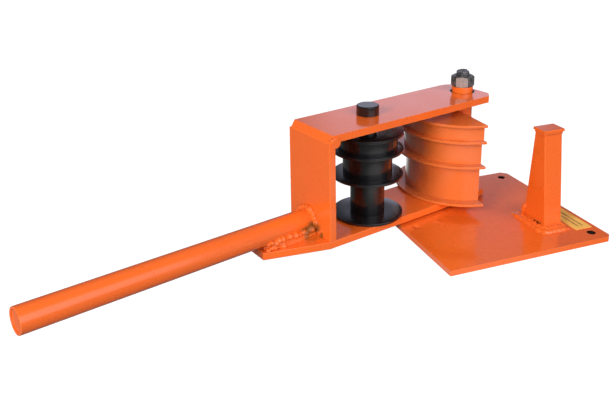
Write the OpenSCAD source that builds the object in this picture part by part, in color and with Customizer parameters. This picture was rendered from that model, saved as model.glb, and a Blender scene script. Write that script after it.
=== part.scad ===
// Hand tube bender. A half-round die with three grooves stands on a base plate,
// and a yoke with a grooved roller swings round it by a welded lever.
// Millimetres, +Z up. The origin is on the centre shaft's axis at the base plate's underside,
// +X runs along the plate's front edge to the right, +Y runs to the back.

/* [Base plate] */
// Side of the square base plate
base_w = 200; // [180:1:240]
// Thickness of the base plate
base_t = 6; // [4:0.5:12]
// Centre shaft axis to the plate's right edge
shaft_from_right = 86.5; // [80:0.5:110]
// Centre shaft axis to the plate's back edge
shaft_from_back = 25; // [20:0.5:40]
// Leg of the two clipped back corners
back_corner_cut = 6.5; // [2:0.5:9]
// Leg of the clipped right front corner
front_corner_cut = 4; // [1:0.5:9]
// Radius of the three bench bolt holes
bolt_hole_r = 4.5; // [3:0.25:5.5]
// Bolt hole centre to the plate's nearest edges
bolt_inset = 15; // [12:0.5:20]

/* [Stop post] */
// Width of the stop post
post_w = 22.2; // [16:0.2:26]
// Depth of the post at its foot
post_foot_l = 38; // [28:0.5:40]
// Depth of the post under its cap
post_top_l = 16; // [14:0.5:26]
// Height of the post without its cap
post_h = 114; // [90:1:118]
// How far the hand-welded post leans to the left at its top
post_lean = 10; // [0:0.5:12]
// Post's foot to the plate's right edge
post_from_right = 35; // [32:0.1:44]
// Post's front face to the plate's front edge
post_from_front = 40.7; // [34:0.1:46]
// Thickness of the post's cap plate
post_cap_t = 3; // [2:0.5:6]
// Overhang of the cap plate on each side
post_cap_over = 1.8; // [0.6:0.2:3]
// Leg of the weld on the right side of the post's foot
post_weld_leg = 5; // [3:0.5:8]
// Leg of the weld on the foot's other sides, where it was built up wider
post_weld_spread = 12; // [6:0.5:14]
// Height of the weld round the post's foot
post_weld_h = 5.5; // [3:0.5:9]

/* [Label] */
// Length of the label plate
label_l = 60; // [40:1:75]
// Thickness of the label plate
label_t = 0.6; // [0.4:0.1:1.2]
// Label's right side to the plate's right edge
label_from_right = 5; // [3:0.5:10]
// Label's front end to the plate's front edge
label_from_front = 25.5; // [22:0.5:30]
// Gap between the label and the post's weld
label_gap = 3.5; // [0.5:0.5:5]

/* [Centre shaft] */
// Radius of the centre shaft
shaft_r = 12.5; // [11:0.25:14]
// How far the shaft stands out of the yoke's top plate
shaft_proud = 6.8; // [4:0.2:12]
// Radius of the stud on the shaft
stud_r = 8; // [6:0.5:9]
// Depth of the stud in the shaft
stud_depth = 18; // [12:1:30]
// How far the stud stands out of its nut
stud_proud = 6.4; // [2:0.2:10]
// Nut's width across its flats
nut_flats = 24; // [21:0.5:27]
// Turn of the nut as it was tightened
nut_turn = 24.5; // [0:0.5:60]
// Height of the nut
nut_h = 13; // [10:0.5:16]
// Radius of the spacer ring under the yoke
spacer_r = 21; // [18:0.5:24]
// Thickness of the spacer ring
spacer_t = 2.3; // [1.5:0.1:5]

/* [Die and roller stack] */
// Radius of the die's flanges
die_r = 78; // [74:0.5:82]
// Thickness of every flange
flange_t = 3; // [2:0.25:4]
// Height of the low groove, for the largest tube
low_h = 43.5; // [36:0.5:50]
// Height of the middle groove
middle_h = 27; // [20:0.5:32]
// Height of the high groove, for the smallest tube
high_h = 16.5; // [12:0.5:20]
// Depth of the die's low groove
low_depth = 12; // [10:0.5:18]
// Depth of the die's middle groove
middle_depth = 10; // [6:0.5:14]
// Depth of the die's high groove
high_depth = 6.5; // [4:0.5:10]
// Radius of the roller's flanges
roller_r = 40; // [37:0.5:43]
// Radius of the roller's drum in the low groove
drum_low_r = 19.4; // [16:0.2:26]
// Radius of the roller's drum in the middle groove
drum_middle_r = 27.8; // [22:0.2:32]
// Radius of the roller's drum in the high groove
drum_high_r = 33.5; // [28:0.5:36]
// Leg of the two weld beads that hold the die to the shaft
die_weld_leg = 6; // [4:0.5:7]

/* [Yoke] */
// Width of the yoke's flat bar
bar_w = 70; // [60:1:80]
// Thickness of the yoke's flat bar
bar_t = 8; // [6:0.5:10]
// Thickness of the yoke's end plate
end_t = 8; // [6:0.5:12]
// How far the end plate stands out behind the bars at its foot
end_foot_over = 5; // [0:0.5:6]
// How far the end plate stands out behind the bars at its top
end_top_over = 3; // [0:0.5:6]
// Share of the free room between die and end plate that lies on the roller's die side
roller_room_share = 0.4874; // [0.4:0.01:0.6]
// Shaft axis to the end plate's outer face
yoke_reach = 225.5; // [215:0.5:240]
// How far the bars run past the shaft axis
bar_past = 17.4; // [17:0.2:24]
// Free height above the roller
headroom = 10.7; // [4:0.1:20]
// Leg of the clipped front corner at the shaft end of the top plate
tip_clip = 9; // [3:0.5:12]
// Leg of the clipped front corner at the shaft end of the bottom plate
low_tip_clip = 10; // [2:0.5:14]
// Radius of the back corner at the shaft end of the top plate
tip_round = 20; // [8:1:24]
// Leg of the bevel along the top plate's lever end
end_bevel = 5; // [2:0.5:7]
// Length of the tongue under the lever
tongue_l = 69.5; // [50:0.5:90]
// Width of the tongue's tip
tongue_tip_w = 25; // [20:0.5:40]
// Wall of the two bushes round the shaft
bush_wall = 1.6; // [1.2:0.1:1.9]
// How deep the upper bush sits below the plate's top
bush_recess = 3; // [0.5:0.5:4]
// Radius of the small weld pad at the front of the end plate's top
corner_weld_r = 6; // [4:0.5:7]
// Thickness of that weld pad
corner_weld_t = 1.6; // [1:0.2:3]

/* [Roller pin] */
// Radius of the pin's shank
pin_r = 10; // [8:0.5:12]
// Radius of the pin's head
pin_head_r = 12.5; // [12.5:0.25:15]
// Height of the pin's head
pin_head_h = 11; // [6:0.5:14]
// Leg of the chamfer round the pin's head
pin_chamfer = 0.8; // [0.4:0.1:2]

/* [Lever] */
// Radius of the lever tube
lever_r = 12.5; // [11:0.5:14]
// Wall of the lever tube
lever_wall = 2.5; // [1.5:0.25:4]
// Length of the lever tube outside the end plate
lever_l = 320; // [200:5:500]
// Sideways offset of the lever's axis at the end plate, towards the back
lever_offset = 5.5; // [0:0.5:8]
// Angle by which the lever turns out of line with the yoke
lever_yaw = 7.1; // [0:0.1:8]
// Angle at which the lever rises
lever_rise = 3; // [0:0.1:5]
// Thickness of the plug in the lever's free end
plug_t = 4; // [2:0.5:10]
// How deep the plug sits in the tube
plug_recess = 1; // [0.5:0.5:4]
// Leg of the weld ring round the tube at the end plate
ring_weld_leg = 4.5; // [3:0.5:6]
// Width of the weld bead beside the tube on the tongue
side_weld_w = 4; // [2:0.5:6]
// Height of the weld bead beside the tube on the tongue
side_weld_h = 6; // [4:0.5:9]
// How far the tongue's tip stays free of weld
weld_free_l = 4; // [2:0.5:10]

/* [Clearances] */
// Radial clearance of a turning fit
run_clear = 0.05; // [0.01:0.01:0.1]
// Radial clearance of the pin in the yoke's bars
pin_clear = 0.15; // [0.1:0.05:0.4]
// Free gap between flat faces that pass each other
face_gap = 0.3; // [0.1:0.1:0.6]
// Play of the yoke on its spacer ring
yoke_play = 0.2; // [0.1:0.1:0.5]

/* [Hidden] */

// Facets of every round face
round_fn = 96;
// Angle of the yoke from +X as the tool lies at rest
yoke_angle = -165.25;
// Overrun of every cut
over = 2;

base_left = shaft_from_right - base_w;
base_front = shaft_from_back - base_w;

post_left = shaft_from_right - post_from_right - post_w;
post_front = base_front + post_from_front;
post_top_z = base_t + post_h;
// The back face leans forward as it rises
post_back = post_front + post_foot_l;
post_top_back = post_front + post_top_l;
label_w = post_from_right - post_weld_leg - label_gap - label_from_right;

yoke_z = base_t + spacer_t + yoke_play;
stack_z = yoke_z + bar_t + face_gap;
stack_h = low_h + middle_h + high_h + 4 * flange_t;
top_bar_z = stack_z + stack_h + headroom;
yoke_top_z = top_bar_z + bar_t;
clear_h = top_bar_z - yoke_z - bar_t;

// Heights at which the flanges and the grooves begin, from the bottom up
low_z = stack_z + flange_t;
flange_lower_z = low_z + low_h;
middle_z = flange_lower_z + flange_t;
flange_upper_z = middle_z + middle_h;
high_z = flange_upper_z + flange_t;
flange_top_z = high_z + high_h;

// Free room that the roller leaves between the die's rim and the end plate, and where that puts its axis
roller_room = yoke_reach - end_t - die_r - 2 * roller_r;
roller_reach = die_r + roller_r + roller_room * roller_room_share;

bush_bore_r = shaft_r + run_clear;
bush_r = bush_bore_r + bush_wall;

// Height of the lever's axis where it leaves the end plate
lever_z = yoke_z + bar_t + lever_r / cos(lever_rise);

// Shape of the beads that join the die to the shaft, as shares of their leg
bead_foot_share = 2;
bead_nose_share = 1.6;

// Slab that reaches past everything on one side, for cuts
far = yoke_reach + lever_l;

// Part of a disc left of the shaft, flat where it meets the shaft
module half_round(r, h) {
    intersection() {
        cylinder(r = r, h = h, $fn = round_fn);
        translate([-r - over, -r - over, -over])
            cube([r + over - shaft_r, 2 * (r + over), h + 2 * over]);
    }
}

// Disc of the roller with the bore for its pin
module roller_disc(r, h) {
    difference() {
        cylinder(r = r, h = h, $fn = round_fn);
        translate([0, 0, -over])
            cylinder(r = pin_r + run_clear, h = h + 2 * over, $fn = round_fn);
    }
}

// Moves its children from the yoke's own frame, where the yoke runs along +X, to its rest pose
module in_yoke() {
    rotate([0, 0, yoke_angle]) children();
}

// Moves its children to the roller's axis
module on_roller(z) {
    in_yoke() translate([roller_reach, 0, z]) children();
}

// Moves its children to the lever's start, with +Z along the lever
module along_lever() {
    translate([yoke_reach, -lever_offset, lever_z])
        rotate([0, 90 - lever_rise, lever_yaw]) children();
}

// Round bar in the lever's place, longer than the tube at both ends
module lever_bar(r) {
    along_lever() translate([0, 0, -4 * lever_r])
        cylinder(r = r, h = lever_l + 8 * lever_r, $fn = round_fn);
}

// Outline of the tongue with its foot at the end plate
module tongue_outline(inset) {
    polygon([[yoke_reach, -bar_w / 2 + inset],
        [yoke_reach + tongue_l - inset, -tongue_tip_w / 2 + inset],
        [yoke_reach + tongue_l - inset, tongue_tip_w / 2 - inset],
        [yoke_reach, bar_w / 2 - inset]]);
}

// Body of the post, leaning to the left and tapering from the back
module post_body() {
    intersection() {
        translate([0, post_back + over, base_t]) rotate([90, 0, 0])
            linear_extrude(post_foot_l + 2 * over)
                polygon([[post_left, 0], [post_left + post_w, 0],
                    [post_left + post_w - post_lean, post_h], [post_left - post_lean, post_h]]);
        translate([post_left - post_lean - over, 0, base_t]) rotate([90, 0, 90])
            linear_extrude(post_w + post_lean + 2 * over)
                polygon([[post_front, 0], [post_back, 0], [post_top_back, post_h], [post_front, post_h]]);
    }
}

module base_plate() {
    color("darkorange")
    difference() {
        linear_extrude(base_t)
            polygon([[base_left, base_front],
                [shaft_from_right - front_corner_cut, base_front],
                [shaft_from_right, base_front + front_corner_cut],
                [shaft_from_right, shaft_from_back - back_corner_cut],
                [shaft_from_right - back_corner_cut, shaft_from_back],
                [base_left + back_corner_cut, shaft_from_back],
                [base_left, shaft_from_back - back_corner_cut]]);
        for (place = [[shaft_from_right - bolt_inset, shaft_from_back - bolt_inset],
                [shaft_from_right - bolt_inset, base_front + bolt_inset],
                [base_left + bolt_inset, (base_front + shaft_from_back) / 2]])
            translate([place[0], place[1], -over])
                cylinder(r = bolt_hole_r, h = base_t + 2 * over, $fn = round_fn);
    }
}

module stop_post() {
    color("darkorange") post_body();
}

module stop_post_cap() {
    color("darkorange")
    translate([post_left - post_lean - post_cap_over, post_front - post_cap_over, post_top_z])
        cube([post_w + 2 * post_cap_over, post_top_l + 2 * post_cap_over, post_cap_t]);
}

module stop_post_weld() {
    foot_left = post_left - post_weld_spread;
    foot_right = post_left + post_w + post_weld_leg;
    foot_front = post_front - post_weld_spread;
    foot_back = post_back + post_weld_spread;
    color("darkorange")
    difference() {
        intersection() {
            translate([0, foot_back + over, base_t]) rotate([90, 0, 0])
                linear_extrude(foot_back - foot_front + 2 * over)
                    polygon([[foot_left, 0], [foot_right, 0],
                        [post_left + post_w, post_weld_h], [post_left, post_weld_h]]);
            translate([foot_left - over, 0, base_t]) rotate([90, 0, 90])
                linear_extrude(foot_right - foot_left + 2 * over)
                    polygon([[foot_front, 0], [foot_back, 0], [post_back, post_weld_h], [post_front, post_weld_h]]);
        }
        post_body();
    }
}

module label_plate() {
    color("gold")
    translate([shaft_from_right - label_from_right - label_w, base_front + label_from_front, base_t])
        cube([label_w, label_l, label_t]);
}

module centre_shaft() {
    color("darkorange")
    difference() {
        translate([0, 0, base_t])
            cylinder(r = shaft_r, h = yoke_top_z + shaft_proud - base_t, $fn = round_fn);
        translate([0, 0, yoke_top_z + shaft_proud - stud_depth])
            cylinder(r = stud_r, h = stud_depth + over, $fn = round_fn);
    }
}

module centre_stud() {
    color("silver")
    translate([0, 0, yoke_top_z + shaft_proud - stud_depth])
        cylinder(r = stud_r, h = stud_depth + nut_h + stud_proud, $fn = round_fn);
}

module centre_nut() {
    color("silver")
    translate([0, 0, yoke_top_z + shaft_proud])
    difference() {
        rotate([0, 0, nut_turn])
            cylinder(r = nut_flats / 2 / cos(30), h = nut_h, $fn = 6);
        translate([0, 0, -over])
            cylinder(r = stud_r, h = nut_h + 2 * over, $fn = round_fn);
    }
}

module spacer_ring() {
    color("dimgray")
    translate([0, 0, base_t])
    difference() {
        cylinder(r = spacer_r, h = spacer_t, $fn = round_fn);
        translate([0, 0, -over])
            cylinder(r = shaft_r, h = spacer_t + 2 * over, $fn = round_fn);
    }
}

module die_flange_bottom() { color("darkorange") translate([0, 0, stack_z]) half_round(die_r, flange_t); }
module die_core_low() { color("orangered") translate([0, 0, low_z]) half_round(die_r - low_depth, low_h); }
module die_flange_lower() { color("darkorange") translate([0, 0, flange_lower_z]) half_round(die_r, flange_t); }
module die_core_middle() { color("orangered") translate([0, 0, middle_z]) half_round(die_r - middle_depth, middle_h); }
module die_flange_upper() { color("darkorange") translate([0, 0, flange_upper_z]) half_round(die_r, flange_t); }
module die_core_high() { color("orangered") translate([0, 0, high_z]) half_round(die_r - high_depth, high_h); }
module die_flange_top() { color("darkorange") translate([0, 0, flange_top_z]) half_round(die_r, flange_t); }

module die_weld() {
    color("orangered")
    for (side = [0, 1])
        mirror([0, side, 0])
        difference() {
            translate([-shaft_r, 0, stack_z])
                linear_extrude(stack_h)
                    polygon([[0, 0], [0, die_weld_leg * bead_foot_share],
                        [die_weld_leg, die_weld_leg * bead_nose_share]]);
            translate([0, 0, stack_z - over])
                cylinder(r = shaft_r, h = stack_h + 2 * over, $fn = round_fn);
        }
}

module yoke_bottom_plate() {
    color("darkorange")
    in_yoke() translate([0, 0, yoke_z])
    difference() {
        linear_extrude(bar_t)
            polygon([[-bar_past, -bar_w / 2], [yoke_reach, -bar_w / 2],
                [yoke_reach + tongue_l, -tongue_tip_w / 2], [yoke_reach + tongue_l, tongue_tip_w / 2],
                [yoke_reach, bar_w / 2], [-bar_past + low_tip_clip, bar_w / 2],
                [-bar_past, bar_w / 2 - low_tip_clip]]);
        translate([0, 0, -over])
            cylinder(r = bush_r, h = bar_t + 2 * over, $fn = round_fn);
        translate([roller_reach, 0, -over])
            cylinder(r = pin_r + pin_clear, h = bar_t + 2 * over, $fn = round_fn);
    }
}

module yoke_top_plate() {
    color("darkorange")
    in_yoke() translate([0, 0, top_bar_z])
    difference() {
        linear_extrude(bar_t)
            polygon([[-bar_past, -bar_w / 2], [yoke_reach, -bar_w / 2], [yoke_reach, bar_w / 2],
                [-bar_past + tip_clip, bar_w / 2], [-bar_past, bar_w / 2 - tip_clip]]);
        // Round back corner at the shaft end
        translate([-bar_past + tip_round, -bar_w / 2 + tip_round, -over])
        difference() {
            translate([-tip_round - over, -tip_round - over, 0])
                cube([tip_round + over, tip_round + over, bar_t + 2 * over]);
            cylinder(r = tip_round, h = bar_t + 2 * over, $fn = round_fn);
        }
        // Bevel along the lever end
        translate([yoke_reach, bar_w / 2 + over, 0]) rotate([90, 0, 0])
            linear_extrude(bar_w + 2 * over)
                polygon([[0, 0], [end_bevel, 0], [end_bevel, bar_t + over],
                    [-end_bevel, bar_t + over], [-end_bevel, bar_t]]);
        translate([0, 0, -over])
            cylinder(r = bush_r, h = bar_t + 2 * over, $fn = round_fn);
        translate([roller_reach, 0, -over])
            cylinder(r = pin_r + pin_clear, h = bar_t + 2 * over, $fn = round_fn);
    }
}

module yoke_end_plate() {
    color("darkorange")
    in_yoke() translate([yoke_reach - end_t, 0, yoke_z + bar_t]) rotate([90, 0, 90])
        linear_extrude(end_t)
            polygon([[-bar_w / 2 - end_foot_over, 0], [bar_w / 2, 0],
                [bar_w / 2, clear_h], [-bar_w / 2 - end_top_over, clear_h]]);
}

module yoke_corner_weld() {
    color("darkorange")
    in_yoke() translate([yoke_reach - end_bevel - corner_weld_r / 2, bar_w / 2, top_bar_z]) rotate([-90, 0, 0])
        cylinder(r = corner_weld_r, h = corner_weld_t, $fn = round_fn);
}

// Thin bush round the shaft
module bush(h) {
    difference() {
        cylinder(r = bush_r, h = h, $fn = round_fn);
        translate([0, 0, -over])
            cylinder(r = bush_bore_r, h = h + 2 * over, $fn = round_fn);
    }
}

module yoke_lower_bush() { color("saddlebrown") translate([0, 0, yoke_z]) bush(bar_t); }
module yoke_upper_bush() { color("saddlebrown") translate([0, 0, top_bar_z]) bush(bar_t - bush_recess); }

module lever_tube() {
    color("darkorange")
    in_yoke()
    difference() {
        along_lever() translate([0, 0, -4 * lever_r])
            cylinder(r = lever_r, h = lever_l + 4 * lever_r, $fn = round_fn);
        lever_bar(lever_r - lever_wall);
        translate([yoke_reach - far, -far, -far])
            cube([far, 2 * far, 2 * far]);
    }
}

module lever_plug() {
    color("darkorange")
    in_yoke() along_lever() translate([0, 0, lever_l - plug_t - plug_recess])
        cylinder(r = lever_r - lever_wall, h = plug_t, $fn = round_fn);
}

module lever_ring_weld() {
    color("darkorange")
    in_yoke()
    difference() {
        along_lever() translate([0, 0, -ring_weld_leg])
            cylinder(r1 = lever_r + 2 * ring_weld_leg, r2 = lever_r, h = 2 * ring_weld_leg, $fn = round_fn);
        lever_bar(lever_r);
        translate([yoke_reach - far, -far, -far])
            cube([far, 2 * far, 2 * far]);
        translate([0, -far, -far])
            cube([2 * far, 2 * far, far + yoke_z + bar_t + side_weld_h]);
    }
}

module lever_side_weld() {
    color("darkorange")
    in_yoke()
    difference() {
        intersection() {
            translate([0, 0, yoke_z + bar_t])
                linear_extrude(side_weld_h) tongue_outline(weld_free_l);
            translate([yoke_reach, -lever_offset, yoke_z + bar_t]) rotate([90, 0, 90 + lever_yaw])
                translate([0, 0, -over])
                linear_extrude(tongue_l + 2 * over)
                    polygon([[-lever_r - side_weld_w, 0], [lever_r + side_weld_w, 0],
                        [lever_r, side_weld_h], [-lever_r, side_weld_h]]);
        }
        lever_bar(lever_r);
        translate([yoke_reach - far, -far, -far])
            cube([far, 2 * far, 2 * far]);
    }
}

module roller_flange_bottom() { color("dimgray") on_roller(stack_z) roller_disc(roller_r, flange_t); }
module roller_drum_low() { color("black") on_roller(low_z) roller_disc(drum_low_r, low_h); }
module roller_flange_lower() { color("dimgray") on_roller(flange_lower_z) roller_disc(roller_r, flange_t); }
module roller_drum_middle() { color("black") on_roller(middle_z) roller_disc(drum_middle_r, middle_h); }
module roller_flange_upper() { color("dimgray") on_roller(flange_upper_z) roller_disc(roller_r, flange_t); }
module roller_drum_high() { color("black") on_roller(high_z) roller_disc(drum_high_r, high_h); }
module roller_flange_top() { color("dimgray") on_roller(flange_top_z) roller_disc(roller_r, flange_t); }

module roller_pin() {
    color("darkorange")
    on_roller(0) {
        translate([0, 0, yoke_z + face_gap])
            cylinder(r = pin_r, h = yoke_top_z - yoke_z - face_gap, $fn = round_fn);
        translate([0, 0, yoke_top_z])
            cylinder(r = pin_head_r, h = pin_head_h - pin_chamfer, $fn = round_fn);
        translate([0, 0, yoke_top_z + pin_head_h - pin_chamfer])
            cylinder(r1 = pin_head_r, r2 = pin_head_r - pin_chamfer, h = pin_chamfer, $fn = round_fn);
    }
}

base_plate();
stop_post();
stop_post_cap();
stop_post_weld();
label_plate();
centre_shaft();
centre_stud();
centre_nut();
spacer_ring();
die_flange_bottom();
die_core_low();
die_flange_lower();
die_core_middle();
die_flange_upper();
die_core_high();
die_flange_top();
die_weld();
yoke_bottom_plate();
yoke_top_plate();
yoke_end_plate();
yoke_corner_weld();
yoke_lower_bush();
yoke_upper_bush();
lever_tube();
lever_plug();
lever_ring_weld();
lever_side_weld();
roller_flange_bottom();
roller_drum_low();
roller_flange_lower();
roller_drum_middle();
roller_flange_upper();
roller_drum_high();
roller_flange_top();
roller_pin();
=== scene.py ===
# %% [markdown]
# # A hand tube bender, dressed for its picture
# A half-round die with three stacked grooves is welded on a base plate, and a yoke of flat bar swings a
# grooved black roller round it. All of it is shop-made: flame-cut plate, turned steel and hand welds under
# a glossy orange powder coat. The frame brings every solid at its true size and place, so this script gives
# the solids their worn edges, weld beads, threads, turning marks and finishes.

# %% Load the frame
import math

import bmesh
import bpy
from mathutils import Matrix, Vector


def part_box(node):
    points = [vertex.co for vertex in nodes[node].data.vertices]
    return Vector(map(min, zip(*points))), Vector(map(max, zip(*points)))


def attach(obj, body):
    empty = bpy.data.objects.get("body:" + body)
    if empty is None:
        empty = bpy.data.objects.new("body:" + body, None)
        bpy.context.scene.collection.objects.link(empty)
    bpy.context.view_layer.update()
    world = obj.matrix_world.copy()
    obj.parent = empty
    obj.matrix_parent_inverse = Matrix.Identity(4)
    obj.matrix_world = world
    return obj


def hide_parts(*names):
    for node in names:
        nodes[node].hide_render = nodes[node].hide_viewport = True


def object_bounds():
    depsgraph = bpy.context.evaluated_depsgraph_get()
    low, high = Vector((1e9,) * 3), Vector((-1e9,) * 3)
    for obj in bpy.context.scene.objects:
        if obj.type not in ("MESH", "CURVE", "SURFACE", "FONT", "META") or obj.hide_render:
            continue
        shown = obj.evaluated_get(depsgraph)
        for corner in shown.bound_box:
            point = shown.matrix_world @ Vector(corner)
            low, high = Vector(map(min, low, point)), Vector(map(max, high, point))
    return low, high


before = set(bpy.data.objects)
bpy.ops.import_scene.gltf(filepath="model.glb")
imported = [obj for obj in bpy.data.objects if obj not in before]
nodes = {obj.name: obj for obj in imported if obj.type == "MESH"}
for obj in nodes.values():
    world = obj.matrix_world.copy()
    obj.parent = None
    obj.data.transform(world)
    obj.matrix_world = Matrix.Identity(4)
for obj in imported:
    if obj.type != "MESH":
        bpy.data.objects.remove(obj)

cad_low, cad_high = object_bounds()
MM = 0.001

# %% [markdown]
# ## Where things are
# The yoke lies at an odd angle to the base plate. The roller pin stands on the yoke's centre line, so its
# place gives that angle, and a point can then be written as a distance along the yoke from the centre shaft
# and a distance across it. Most sizes come from the solids' boxes and corners, and the few that are typed
# stand beside their use.


# %% The yoke's own directions
def middle(node):
    """Middle of a solid's box."""
    low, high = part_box(node)
    return (low + high) / 2


roller_axis = middle("roller_pin")
yoke_turn = math.atan2(roller_axis.y, roller_axis.x)
yoke_frame = Matrix.Rotation(yoke_turn, 4, "Z")


def in_yoke(along, across, height):
    """A point of the yoke, from its distances along and across the bar, in the whole tool's frame."""
    return yoke_frame @ Vector((along, across, height))


end_face = max((yoke_frame.inverted() @ v.co).x for v in nodes["yoke_end_plate"].data.vertices)
plate_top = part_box("base_plate")[1].z
print("the yoke lies", round(math.degrees(yoke_turn), 2), "degrees from the plate's front edge and ends",
      round(end_face / MM, 1), "mm from the shaft")

# %% [markdown]
# ## Shapes from solids
# A sheared or sawn plate never has a razor edge: a file or the paint rounds it, and that thin round is what
# catches light. A copy of the solid is cleaned of its loose triangles, and a Bevel modifier limited by angle
# rounds the real corners only, so turned faces stay as they are.


# %% Copy a solid
def link(mesh, name):
    """Makes an object for a mesh and shows it."""
    piece = bpy.data.objects.new(name, mesh)
    bpy.context.scene.collection.objects.link(piece)
    return piece


def clean_copy(node):
    """A joined-up mesh of a solid, with flat faces merged."""
    work = bmesh.new()
    work.from_mesh(nodes[node].data)
    bmesh.ops.remove_doubles(work, verts=work.verts, dist=2e-6)
    bmesh.ops.dissolve_limit(work, angle_limit=math.radians(0.4), verts=work.verts, edges=work.edges)
    bmesh.ops.recalc_face_normals(work, faces=work.faces)
    mesh = bpy.data.meshes.new(node)
    work.to_mesh(mesh)
    work.free()
    return mesh


# %% Soften a solid
def smooth_by_angle(mesh, degrees=35):
    """Smooth shading, with the edges that are sharper than the angle kept hard."""
    mesh.shade_smooth()
    mesh.set_sharp_from_angle(angle=math.radians(degrees))


def apply_all(piece):
    """Turns a piece with modifiers into a plain mesh."""
    bpy.context.view_layer.update()
    seen = piece.evaluated_get(bpy.context.evaluated_depsgraph_get())
    piece.data = bpy.data.meshes.new_from_object(seen)
    piece.modifiers.clear()
    return piece


def softened(node, width, name=None):
    """A solid's copy with every hard edge rounded."""
    piece = link(clean_copy(node), name or node + "_piece")
    bevel = piece.modifiers.new("edges", "BEVEL")
    bevel.width = width
    bevel.segments = 3
    bevel.limit_method = "ANGLE"
    bevel.angle_limit = math.radians(28)
    bevel.use_clamp_overlap = True
    apply_all(piece)
    smooth_by_angle(piece.data)
    # Keeps the broad faces flat in a reflection, so that only the rounded edges turn
    even = piece.modifiers.new("flat_faces", "WEIGHTED_NORMAL")
    even.weight = 100
    even.keep_sharp = True
    return apply_all(piece)


# %% [markdown]
# ## Finishes
# Every finish is made of nodes and reads Object coordinates, so a mark keeps its place when a piece swings.
# Node trees grow long, so a few helpers add a node, its links and its values in one line. The same helper
# serves materials, the room's light and Geometry Nodes.


# %% Node helpers
def adder(tree):
    """A function that adds a node to a tree, links the sockets it is given and sets the plain values."""

    def add(kind, values=None, **settings):
        node = tree.nodes.new(kind)
        for key, value in settings.items():
            setattr(node, key, value)
        for key, value in (values or {}).items():
            if isinstance(value, bpy.types.NodeSocket):
                tree.links.new(value, node.inputs[key])
            else:
                node.inputs[key].default_value = value
        return node

    return add


def maths(add, operation, *values):
    """A sum on numbers or sockets."""
    return add("ShaderNodeMath", dict(enumerate(values)), operation=operation).outputs[0]


def vector_maths(add, operation, *values, output=0):
    """A sum on vectors or sockets."""
    return add("ShaderNodeVectorMath", dict(enumerate(values)), operation=operation).outputs[output]


def band(add, value, low, high, out_low=0.0, out_high=1.0, **settings):
    """Spreads part of a value's range over another range."""
    return add("ShaderNodeMapRange", {0: value, 1: low, 2: high, 3: out_low, 4: out_high}, **settings).outputs[0]


# %% Material helpers
def new_finish(name):
    """A material with its shader, a helper that adds nodes to it, and its links."""
    finish = bpy.data.materials.new(name)
    finish.use_nodes = True
    tree = finish.node_tree
    shader = next(n for n in tree.nodes if n.type == "BSDF_PRINCIPLED")
    return finish, shader, adder(tree), tree.links


def blend(add, share, first, second):
    """Mixes two colours, given as values or sockets."""
    return add("ShaderNodeMix", {0: share, 6: first, 7: second}, data_type="RGBA").outputs[2]


def noise(add, where, scale, detail=3.0, rough=0.55):
    """Smooth random pattern."""
    pattern = add("ShaderNodeTexNoise", {"Vector": where, "Scale": scale, "Detail": detail, "Roughness": rough})
    return pattern.outputs["Fac"]


def bump(add, height, strength, distance, over=None):
    """Small relief from a pattern, on top of another relief if one is given."""
    values = {"Height": height, "Strength": strength, "Distance": distance}
    if over is not None:
        values["Normal"] = over
    return add("ShaderNodeBump", values).outputs[0]


# %% [markdown]
# ### Orange powder coat
# Powder coat is a thick glossy skin: strong colour below, a clear sharp reflection above and a faint
# orange-peel ripple. Where a corner was rounded the skin is thinner and paler. A coat layer over the base
# gives both at once. Heat beside a weld has browned it in places. Painted shade, near black, darkens gaps
# in the welds and the walls of holes. Each mark is a place and a reach, and those of heat and of painted
# shade in the welds get a ragged edge from a noise.

# %% Colours of the coat
ORANGE = (0.87, 0.139, 0.0150, 1)
ORANGE_DEEP = (0.72, 0.101, 0.0100, 1)
ORANGE_THIN = (0.96, 0.21, 0.040, 1)
DIE_ORANGE = (0.73, 0.150, 0.029, 1)
DIE_DEEP = (0.61, 0.110, 0.018, 1)
BROWNED = (0.42, 0.115, 0.012, 1)
SCORCH = (0.13, 0.050, 0.009, 1)
# Near black, for painted shade in weld gaps and on hole walls
PAINTED_SHADE = (0.020, 0.006, 0.003, 1)


# %% Marks in the coat
def scorched(add, where, colour, roughness, scorches):
    """Browns and dulls the coat round some places, dark in the middle."""
    ragged, drawn = noise(add, where, 210.0, 6.0, 0.72), noise(add, where, 60.0, 3.0, 0.6)
    for place, reach in scorches:
        away = vector_maths(add, "DISTANCE", where, tuple(place), output="Value")
        edge = maths(add, "ADD", band(add, ragged, 0.3, 0.7, -0.75 * reach, 0.75 * reach), away)
        edge = maths(add, "ADD", band(add, drawn, 0.3, 0.7, -0.4 * reach, 0.4 * reach), edge)
        colour = blend(add, band(add, edge, 1.7 * reach, 0.6 * reach, 0.0, 0.55), colour, BROWNED)
        heat = band(add, edge, reach, 0.1 * reach)
        colour = blend(add, maths(add, "MULTIPLY", heat, 0.85), colour, SCORCH)
        roughness = maths(add, "MULTIPLY_ADD", heat, 0.35, roughness)
    return colour, roughness


def shade_in_weld_gaps(add, where, colour, shade_pits):
    """Paints shade, near black, into gaps and undercuts of the welds."""
    ragged = noise(add, where, 400.0, 3.0)
    for place, reach in shade_pits:
        away = vector_maths(add, "DISTANCE", where, tuple(place), output="Value")
        edge = maths(add, "ADD", away, band(add, ragged, 0.3, 0.7, -0.4 * reach, 0.4 * reach))
        colour = blend(add, band(add, edge, reach, 0.6 * reach), colour, PAINTED_SHADE)
    return colour


def shade_hole_walls(add, where, colour, holes):
    """Paints shade, near black, on the walls of upright holes, where little light gets in."""
    flat = vector_maths(add, "MULTIPLY", where, (1.0, 1.0, 0.0))
    for place, radius in holes:
        away = vector_maths(add, "DISTANCE", flat, tuple(place), output="Value")
        colour = blend(add, band(add, away, radius + 0.4 * MM, radius + 0.1 * MM), colour, PAINTED_SHADE)
    return colour


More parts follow.
